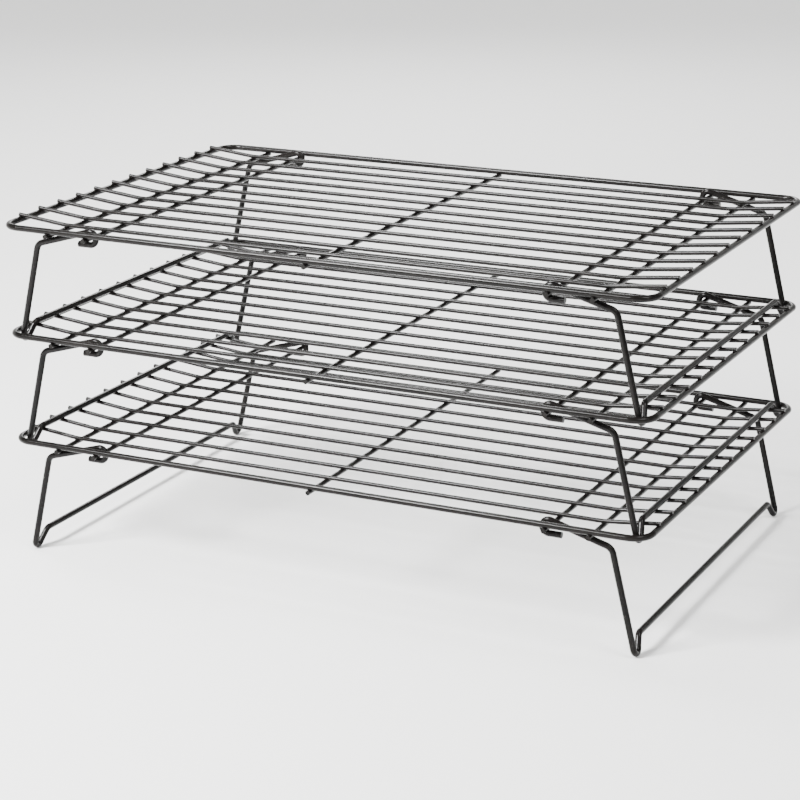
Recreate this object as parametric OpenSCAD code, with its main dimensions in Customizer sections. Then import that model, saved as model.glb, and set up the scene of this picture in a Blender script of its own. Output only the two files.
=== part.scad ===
// Three-tier wire cooling rack. Each tier is a welded wire grid on two folding wire legs,
// and the tiers stack, each standing with its feet inside the frame of the tier below.
// X runs along the rack, Y across it and Z up. The origin is on the floor under the middle.

/* [Frame] */
// Length of one tier over the frame wire
frame_l = 400; // [320:5:480]
// Width of one tier over the frame wire
frame_w = 260; // [200:5:320]
// Bend radius of the frame's corners, to the wire's centre
corner_r = 11; // [9:0.5:12]
// Diameter of the frame wire
frame_d = 3.6; // [3:0.1:4]

/* [Grid] */
// Number of long wires that the food lies on
grid_count = 12; // [8:1:12]
// Distance from the outer grid wires to the foot that stands beside them, centre to centre
foot_clear = 3; // [3:0.1:6]
// Diameter of a grid wire
grid_d = 2.4; // [2:0.1:3]
// Distance from a grid wire's cut end to the outside of the frame
grid_inset = 1; // [0.5:0.1:1.6]
// Bend radius where a grid wire turns up to lie on the frame's short side
grid_bend_r = 60; // [30:5:90]

/* [Cross wires] */
// Diameter of a cross wire
cross_d = 2.8; // [2.4:0.1:3.2]
// Distance of the outer cross wires from the rack's ends
outer_cross_in = 33; // [28:0.5:40]
// Distance of the hinge wires from the outer cross wires
hinge_pitch = 25.5; // [23:0.5:30]
// Length by which a cross wire stands out past the frame
cross_overhang = 0.6; // [0:0.1:1]
// Depth that welded wires sink into each other
weld_sink = 0.3; // [0.1:0.05:0.4]

/* [Legs] */
// Diameter of the leg wire
leg_d = 3.6; // [3:0.1:4]
// Height from the foot's underside to the frame wire's centre
leg_h = 69.8; // [60:0.1:100]
// Angle that the shank leans outward
splay = 13.5; // [8:0.5:14]
// Distance from the hinge wire to the elbow
arm_reach = 36; // [33:0.5:37]
// Bend radius of the elbow, to the wire's centre
elbow_r = 5.5; // [4:0.5:8]
// Length of the hook's straight tail
hook_tail = 7.5; // [4:0.5:9]
// Running clearance between the hook and the hinge wire
hook_clear = 0.6; // [0.3:0.05:0.8]
// Gap between the leg and the long side of the frame
leg_side_gap = 2.2; // [1.4:0.1:2.6]
// Gap between the arm and the cross wire that stops it
stop_gap = 0.1; // [0.05:0.05:0.3]

/* [Feet] */
// Height of the crossbar above the bottom of the foot's bend, centre to centre
foot_rise = 8.4; // [7:0.1:11]
// Bend radius of the foot, to the wire's centre
foot_r = 3.2; // [2.6:0.1:3.6]
// Angle between the foot's rising side and the shank
foot_lean = 35; // [25:1:45]
// Bend radius between the foot and the crossbar, to the wire's centre
crossbar_r = 4; // [3:0.5:6]
// Gap between a crossbar and the grid wires that it rests on
stack_gap = 0.1; // [0.05:0.05:0.3]

/* [Hidden] */
TIERS = ["bottom", "middle", "top"];
CROSS_WIRES = ["left_outer", "left_hinge", "middle", "right_hinge", "right_outer"];
SIDES = ["left", "right"];
$fn = 48;

// The sleeve that joins two lengths of one wire
seam_step = 0.01;
seam_l = 0.2;

coating = [0.13, 0.12, 0.12];
leg_coating = [0.16, 0.15, 0.15];

// The frame wire's centre line
frame_x = frame_l / 2 - frame_d / 2;
frame_y = frame_w / 2 - frame_d / 2;

// Cross wires lie under the long sides of the frame, and the grid wires lie on them
outer_x = frame_l / 2 - outer_cross_in;
hinge_x = outer_x - hinge_pitch;
cross_x = [-outer_x, -hinge_x, 0, hinge_x, outer_x];
cross_z = weld_sink - (frame_d + cross_d) / 2;
cross_l = frame_w + 2 * cross_overhang;

// Grid wires run level between the outer cross wires, then up onto the frame's short sides
grid_end_x = frame_l / 2 - grid_inset;
grid_low_z = cross_z + (cross_d + grid_d) / 2 - weld_sink;
grid_high_z = (frame_d + grid_d) / 2 - weld_sink;
grid_slope = atan2(grid_high_z - grid_low_z, frame_x - outer_x);
function grid_z(x) = grid_low_z + max(0, abs(x) - outer_x) * tan(grid_slope);

// The leg hangs on the hinge wire, inside the long side of the frame
leg_y = frame_y - (frame_d + leg_d) / 2 - leg_side_gap;
hook_r = (cross_d + leg_d) / 2 + hook_clear;
stop_r = (cross_d + leg_d) / 2 + stop_gap;
// The arm leaves the top of the hook and passes just under the outer cross wire
arm_angle = asin((hook_r + stop_r) / hinge_pitch);
arm_start = hook_r * [sin(arm_angle), cos(arm_angle)];
elbow = [arm_reach, arm_start.y - (arm_reach - arm_start.x) * tan(arm_angle)];
// The lowest point of the wire's centre line, measured from the hinge
foot_z = leg_d / 2 - leg_h - cross_z;
foot_x = elbow.x + (elbow.y - foot_z) * tan(splay);
// Heights along the shank, from the lowest point
crossbar_s = foot_rise / cos(splay);
foot_tip_s = foot_r - foot_r * tan((180 - foot_lean) / 2);
shank_s = 4 * foot_r;
shank_end = [foot_x - shank_s * sin(splay), foot_z + shank_s * cos(splay)];
riser_y = leg_y - (crossbar_s - foot_tip_s) * tan(foot_lean);
// The feet of the tier above stand between the frame and the outer grid wires
grid_edge_y = riser_y - foot_clear;
grid_pitch = 2 * grid_edge_y / (grid_count - 1);

// A tier stands with its crossbars on the grid wires of the tier below
crossbar_x = hinge_x + foot_x - foot_rise * tan(splay);
crossbar_drop = leg_h - leg_d / 2 - foot_rise;
seat_h = ((leg_d + grid_d) / 2 + stack_gap) / cos(grid_slope);
tier_pitch = crossbar_drop + grid_z(crossbar_x) + seat_h;

function heading(a, b) = atan2(b.y - a.y, b.x - a.x);
function turn(a, b, c) = (heading(b, c) - heading(a, b) + 540) % 360 - 180;
function trim(path, radii, i) =
    i == 0 || i == len(path) - 1 ? 0
    : radii[i - 1] * tan(abs(turn(path[i - 1], path[i], path[i + 1])) / 2);

// A straight length of wire in the XY plane
module straight_wire(a, b, d) {
    translate([a.x, a.y, 0])
        rotate([0, 90, heading(a, b)])
            cylinder(d = d, h = norm(b - a));
}

// A sleeve a hair wider than the wire, over the line where two lengths of it meet
module seam(at, angle, d) {
    translate([at.x, at.y, 0])
        rotate([0, 90, angle])
            cylinder(d = d + 2 * seam_step, h = seam_l, center = true);
}

// An arc of wire in the XY plane about the origin
module arc_wire(r, from, sweep, d) {
    rotate([0, 0, sweep < 0 ? from + sweep : from])
        rotate_extrude(angle = abs(sweep))
            translate([r, 0])
                circle(d = d);
    for (end = [from, from + sweep])
        seam(r * [cos(end), sin(end)], end + 90, d);
}

// A wire bent along a path in the XY plane, with one bend radius for each corner
module bent_wire(path, radii, d) {
    last = len(path) - 1;
    for (i = [0 : last - 1]) {
        way = (path[i + 1] - path[i]) / norm(path[i + 1] - path[i]);
        straight_wire(
            path[i] + way * trim(path, radii, i),
            path[i + 1] - way * trim(path, radii, i + 1),
            d
        );
    }
    for (i = [1 : last - 1]) {
        angle = turn(path[i - 1], path[i], path[i + 1]);
        way = (path[i] - path[i - 1]) / norm(path[i] - path[i - 1]);
        hand = sign(angle);
        start = path[i] - way * trim(path, radii, i);
        centre = start + hand * radii[i - 1] * [-way.y, way.x];
        translate([centre.x, centre.y, 0])
            arc_wire(radii[i - 1], heading(path[i - 1], path[i]) - hand * 90, angle, d);
    }
}

module frame() {
    color(coating)
        for (side = [-1, 1])
            bent_wire(
                [
                    [0, -side * frame_y],
                    [side * frame_x, -side * frame_y],
                    [side * frame_x, side * frame_y],
                    [0, side * frame_y]
                ],
                [corner_r, corner_r],
                frame_d
            );
}

module grid_wire(n) {
    rise = (grid_end_x - outer_x) * tan(grid_slope);
    color(coating)
        translate([0, grid_edge_y - (n - 1) * grid_pitch, grid_low_z])
            rotate([90, 0, 0])
                bent_wire(
                    [[-grid_end_x, rise], [-outer_x, 0], [outer_x, 0], [grid_end_x, rise]],
                    [grid_bend_r, grid_bend_r],
                    grid_d
                );
}

module cross_wire(x) {
    color(coating)
        translate([x, cross_l / 2, cross_z])
            rotate([90, 0, 0])
                cylinder(d = cross_d, h = cross_l);
}

// Hook, arm, elbow and shank of one side of a leg, in the XY plane about the hinge
module leg_side() {
    straight_wire([hook_tail, -hook_r], [0, -hook_r], leg_d);
    arc_wire(hook_r, 270, -180 - arm_angle, leg_d);
    bent_wire([arm_start, elbow, shank_end], [elbow_r], leg_d);
}

// The feet and the crossbar, in the leaning plane of the shanks, from the lowest point
module leg_base() {
    for (y = [-leg_y, leg_y])
        seam([y, shank_s], 90, leg_d);
    bent_wire(
        [
            [-leg_y, shank_s],
            [-leg_y, foot_tip_s],
            [-riser_y, crossbar_s],
            [riser_y, crossbar_s],
            [leg_y, foot_tip_s],
            [leg_y, shank_s]
        ],
        [foot_r, crossbar_r, crossbar_r, foot_r],
        leg_d
    );
}

module right_leg() {
    color(leg_coating)
        translate([hinge_x, 0, cross_z]) {
            for (y = [-leg_y, leg_y])
                translate([0, y, 0])
                    rotate([90, 0, 0])
                        leg_side();
            translate([foot_x, 0, foot_z])
                rotate([0, -splay, 0])
                    rotate([90, 0, 90])
                        leg_base();
        }
}

module leg(side) {
    mirror([side == "left" ? 1 : 0, 0, 0])
        right_leg();
}

for (t = [0 : 2]) {
    translate([0, 0, leg_h + t * tier_pitch]) {
        frame();
        for (n = [1 : grid_count])
            grid_wire(n);
        for (i = [0 : 4])
            cross_wire(cross_x[i]);
        for (side = SIDES)
            leg(side);
    }
}
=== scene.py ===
import bpy
import bmesh
import math
from mathutils import Matrix, Vector


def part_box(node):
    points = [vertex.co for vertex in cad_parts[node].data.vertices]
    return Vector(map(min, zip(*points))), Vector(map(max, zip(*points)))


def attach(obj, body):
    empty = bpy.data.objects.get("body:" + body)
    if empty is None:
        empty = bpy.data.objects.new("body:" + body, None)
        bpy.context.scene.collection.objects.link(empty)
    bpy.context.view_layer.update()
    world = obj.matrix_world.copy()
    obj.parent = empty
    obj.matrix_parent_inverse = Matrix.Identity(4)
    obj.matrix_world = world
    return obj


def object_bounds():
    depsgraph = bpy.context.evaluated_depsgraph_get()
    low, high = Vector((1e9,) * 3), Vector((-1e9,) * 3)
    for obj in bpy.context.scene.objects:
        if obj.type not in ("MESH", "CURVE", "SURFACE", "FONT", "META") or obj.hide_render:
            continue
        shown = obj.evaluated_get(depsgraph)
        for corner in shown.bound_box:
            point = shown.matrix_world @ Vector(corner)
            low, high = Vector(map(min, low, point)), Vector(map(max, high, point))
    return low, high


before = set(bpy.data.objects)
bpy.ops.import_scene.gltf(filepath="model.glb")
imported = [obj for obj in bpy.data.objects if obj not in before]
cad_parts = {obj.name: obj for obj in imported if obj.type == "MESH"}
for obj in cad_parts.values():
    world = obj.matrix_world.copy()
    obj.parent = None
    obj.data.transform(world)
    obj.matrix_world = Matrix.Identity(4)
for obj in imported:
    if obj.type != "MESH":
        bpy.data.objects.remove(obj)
cad_low, cad_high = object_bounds()

MM = 0.001
TIERS = ["bottom", "middle", "top"]
CROSS_WIRES = ["left_outer", "left_hinge", "middle", "right_hinge", "right_outer"]
GRID_COUNT = sum(name.startswith("top_grid_wire_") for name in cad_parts)


def linear(hex_colour):
    """An sRGB hex colour as the linear colour that a shader socket takes."""
    channels = [int(hex_colour[i:i + 2], 16) / 255 for i in (1, 3, 5)]
    return [c / 12.92 if c <= 0.04045 else ((c + 0.055) / 1.055) ** 2.4 for c in channels] + [1]


def add_node(tree, kind, links=(), **settings):
    """Adds a shader node. Settings name its properties or inputs, and links pair an input with an output."""
    made = tree.nodes.new(kind)
    for name, value in settings.items():
        if hasattr(made, name):
            setattr(made, name, value)
        else:
            made.inputs[name.replace("_", " ")].default_value = value
    for name, output in links:
        tree.links.new(output, made.inputs[name])
    return made


def nonstick_coated_steel(name, dark, light, roughness, gloss):
    """Drawn steel wire, sprayed with non-stick coating and baked: near black, with one narrow pale line of sheen."""
    material = bpy.data.materials.new(name)
    material.use_nodes = True
    tree = material.node_tree
    tree.nodes.clear()
    place = add_node(tree, "ShaderNodeTexCoord").outputs["Object"]

    # Baked coating varies in tone over a few centimetres, where it was sprayed thicker
    cloud = add_node(tree, "ShaderNodeTexNoise", [("Vector", place)],
                     Scale=1 / (35 * MM), Detail=3.0, Roughness=0.55)
    tone = add_node(tree, "ShaderNodeValToRGB", [("Fac", cloud.outputs["Fac"])])
    tone.color_ramp.elements[0].position = 0.36
    tone.color_ramp.elements[0].color = linear(dark)
    tone.color_ramp.elements[1].position = 0.66
    tone.color_ramp.elements[1].color = linear(light)

    # Pale specks of pigment in the coating, about 0.5 mm, drawn at 1.2 mm so that they show
    speck = add_node(tree, "ShaderNodeTexNoise", [("Vector", place)],
                     Scale=1 / (1.2 * MM), Detail=2.0, Roughness=0.6)
    fleck = add_node(tree, "ShaderNodeMapRange", [("Value", speck.outputs["Fac"])])
    fleck.inputs["From Min"].default_value = 0.62
    fleck.inputs["From Max"].default_value = 0.80
    fleck.inputs["To Max"].default_value = 0.16
    colour = add_node(tree, "ShaderNodeMix", data_type="RGBA")
    tree.links.new(fleck.outputs["Result"], colour.inputs[0])
    tree.links.new(tone.outputs["Color"], colour.inputs[6])
    colour.inputs[7].default_value = linear("#6c6763")

    # The sheen is a little uneven, because the coating is baked and not polished
    sheen = add_node(tree, "ShaderNodeMapRange", [("Value", cloud.outputs["Fac"])])
    sheen.inputs["To Min"].default_value = roughness - 0.04
    sheen.inputs["To Max"].default_value = roughness + 0.05

    # Orange peel of the sprayed coating, 0.8 mm across and 0.03 mm high: highlights waver very slightly
    peel = add_node(tree, "ShaderNodeTexNoise", [("Vector", place)],
                    Scale=1 / (0.8 * MM), Detail=2.0, Roughness=0.5)
    bump = add_node(tree, "ShaderNodeBump", [("Height", peel.outputs["Fac"])],
                    Strength=0.40, Distance=0.03 * MM)

    surface = add_node(
        tree, "ShaderNodeBsdfPrincipled",
        [("Base Color", colour.outputs[2]), ("Roughness", sheen.outputs["Result"]),
         ("Normal", bump.outputs["Normal"])],
        Metallic=0.0, IOR=1.55
    )
    surface.inputs["Specular IOR Level"].default_value = gloss
    add_node(tree, "ShaderNodeOutputMaterial", [("Surface", surface.outputs["BSDF"])])
    return material


tier_coating = nonstick_coated_steel("nonstick_coated_tier_wire", "#0c0b0a", "#151312", 0.21, 0.11)
# The legs carry the same coating as the tiers, with colours a touch darker: painted shade on the upright legs
leg_coating = nonstick_coated_steel("nonstick_coated_leg_wire", "#0b0a0a", "#141211", 0.19, 0.10)
# Coating pools where wires are welded, so it is a little darker there
weld_coating = nonstick_coated_steel("pooled_coating_at_welds", "#080707", "#0f0d0d", 0.18, 0.10)


def coat(piece, material):
    piece.data.materials.clear()
    piece.data.materials.append(material)


for name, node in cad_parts.items():
    coat(node, leg_coating if name.endswith("_leg") else tier_coating)


def finish_piece(name, shape, body, material):
    bmesh.ops.recalc_face_normals(shape, faces=shape.faces)
    mesh = bpy.data.meshes.new(name)
    shape.to_mesh(mesh)
    shape.free()
    piece = bpy.data.objects.new(name, mesh)
    bpy.context.scene.collection.objects.link(piece)
    for face in mesh.polygons:
        face.use_smooth = True
    coat(piece, material)
    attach(piece, body)


# A bead's height, and its half sizes along X and Y as shares of the wires that it joins
BEAD_H = 0.36 * MM
CROSS_ON_RAIL = (0.50, 0.38)
GRID_ON_CROSS = (0.48, 0.52)
GRID_ON_RAIL = (0.36, 0.52)


def add_bead(shape, place, wire_x, wire_y, shares):
    """A rounded bead of coating of a few dozen faces, because a tier has about a hundred."""
    half = (wire_x * shares[0], wire_y * shares[1], BEAD_H, 1)
    bmesh.ops.create_uvsphere(
        shape, u_segments=8, v_segments=5, radius=1,
        matrix=Matrix.Translation(place) @ Matrix.Diagonal(half)
    )


def weld_beads(tier):
    """Where wires are welded, the coating fills the corner between them with a small bead."""
    welds = bmesh.new()
    rail_low, rail_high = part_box(tier + "_frame")
    rail = rail_high.z - rail_low.z
    grid = []
    for n in range(1, GRID_COUNT + 1):
        wire_low, wire_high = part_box("%s_grid_wire_%d" % (tier, n))
        grid.append(((wire_low.y + wire_high.y) / 2, wire_high.y - wire_low.y))
    for cross in CROSS_WIRES:
        low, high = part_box("%s_%s_cross_wire" % (tier, cross))
        x, cross_d = (low.x + high.x) / 2, high.x - low.x
        for y in (rail_low.y + rail / 2, rail_high.y - rail / 2):
            add_bead(welds, (x, y, high.z), cross_d, rail, CROSS_ON_RAIL)
        for y, grid_d in grid:
            add_bead(welds, (x, y, high.z), cross_d, grid_d, GRID_ON_CROSS)
    for y, grid_d in grid:
        for x in (rail_low.x + rail / 2, rail_high.x - rail / 2):
            add_bead(welds, (x, y, rail_high.z), rail, grid_d, GRID_ON_RAIL)
    finish_piece(tier + "_weld_beads", welds, tier + "_tier", weld_coating)


for tier in TIERS:
    weld_beads(tier)

# The camera stands off the front right corner, a little above the top tier
CAMERA_YAW, CAMERA_PITCH, CAMERA_ROLL = (math.radians(a) for a in (26.347, 17.393, -0.428))
CAMERA_X, CAMERA_Y, CAMERA_OVER_TOP = 0.5929, -1.2113, 0.3076
top_z = sum(corner.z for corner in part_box("top_frame")) / 2
camera = bpy.data.objects.new("camera", bpy.data.cameras.new("camera"))
camera.data.sensor_width = 36
camera.data.lens = 106.03
camera.data.clip_start, camera.data.clip_end = 0.05, 20
camera.matrix_world = (
    Matrix.Translation((CAMERA_X, CAMERA_Y, top_z + CAMERA_OVER_TOP))
    @ Matrix.Rotation(CAMERA_YAW, 4, "Z")
    @ Matrix.Rotation(math.pi / 2 - CAMERA_PITCH, 4, "X")
    @ Matrix.Rotation(CAMERA_ROLL, 4, "Z")
)
bpy.context.scene.collection.objects.link(camera)
bpy.context.scene.camera = camera

# A plain pale floor, round and turned up at its far edge
floor_shape = bmesh.new()
FLOOR_R, EDGE_R, WALL_H = 3.2, 1.2, 1.2
FLOOR_GAP = 0.2 * MM
edge = [floor_shape.verts.new((0, 0, 0)), floor_shape.verts.new((FLOOR_R, 0, 0))]
edge += [
    floor_shape.verts.new((
        FLOOR_R + EDGE_R * math.sin(math.radians(a)), 0, EDGE_R * (1 - math.cos(math.radians(a)))
    ))
    for a in range(6, 91, 6)
]
edge.append(floor_shape.verts.new((FLOOR_R + EDGE_R, 0, EDGE_R + WALL_H)))
profile = [floor_shape.edges.new(pair) for pair in zip(edge[:-1], edge[1:])]
bmesh.ops.spin(
    floor_shape, geom=edge + profile, cent=(0, 0, 0), axis=(0, 0, 1), dvec=(0, 0, 0),
    angle=2 * math.pi, steps=96, use_merge=True
)
bmesh.ops.remove_doubles(floor_shape, verts=floor_shape.verts, dist=0.0001)
bmesh.ops.recalc_face_normals(floor_shape, faces=floor_shape.faces)
floor_mesh = bpy.data.meshes.new("floor")
floor_shape.to_mesh(floor_mesh)
floor_shape.free()
for face in floor_mesh.polygons:
    face.use_smooth = True
floor = bpy.data.objects.new("floor", floor_mesh)
floor.location.z = -FLOOR_GAP
bpy.context.scene.collection.objects.link(floor)
paper = bpy.data.materials.new("pale_floor")
paper.use_nodes = True
paper.node_tree.nodes["Principled BSDF"].inputs["Base Color"].default_value = linear("#f4f4f3")
paper.node_tree.nodes["Principled BSDF"].inputs["Roughness"].default_value = 0.9
floor.data.materials.append(paper)

# Soft studio light: a dim room, a small bright softbox in front, and weak ones above and behind.
# The long wires mirror the front softbox as a narrow strip, and their edges stay dark.
world = bpy.data.worlds.new("studio")
world.use_nodes = True
world.node_tree.nodes["Background"].inputs["Color"].default_value = linear("#ffffff")
world.node_tree.nodes["Background"].inputs["Strength"].default_value = 0.20
bpy.context.scene.world = world


def add_softbox(name, place, aim, size, power):
    light = bpy.data.objects.new(name, bpy.data.lights.new(name, "AREA"))
    light.data.shape = "RECTANGLE"
    light.data.size, light.data.size_y = size
    light.data.energy = power
    light.location = place
    light.rotation_mode = "QUATERNION"
    light.rotation_quaternion = (Vector(aim) - Vector(place)).to_track_quat("-Z", "Y")
    bpy.context.scene.collection.objects.link(light)


middle = (cad_low + cad_high) / 2
add_softbox("overhead_softbox", (-0.7, 0.1, 1.6), middle, (0.36, 0.5), 18)
add_softbox("front_softbox", (-0.71, -1.18, 1.19), middle, (0.5, 0.35), 115)
add_softbox("back_softbox", (-0.7, 1.45, 0.95), middle, (0.36, 0.5), 12)

# A wide light evens out the floor, from a side that the long wires don't mirror towards the camera
fill = bpy.data.objects.new("room_fill", bpy.data.lights.new("room_fill", "SUN"))
fill.data.energy = 2.5
fill.data.angle = math.radians(24)
fill.rotation_mode = "QUATERNION"
fill.rotation_quaternion = Vector((-0.5, 0.2, -0.84)).to_track_quat("-Z", "Y")
bpy.context.scene.collection.objects.link(fill)
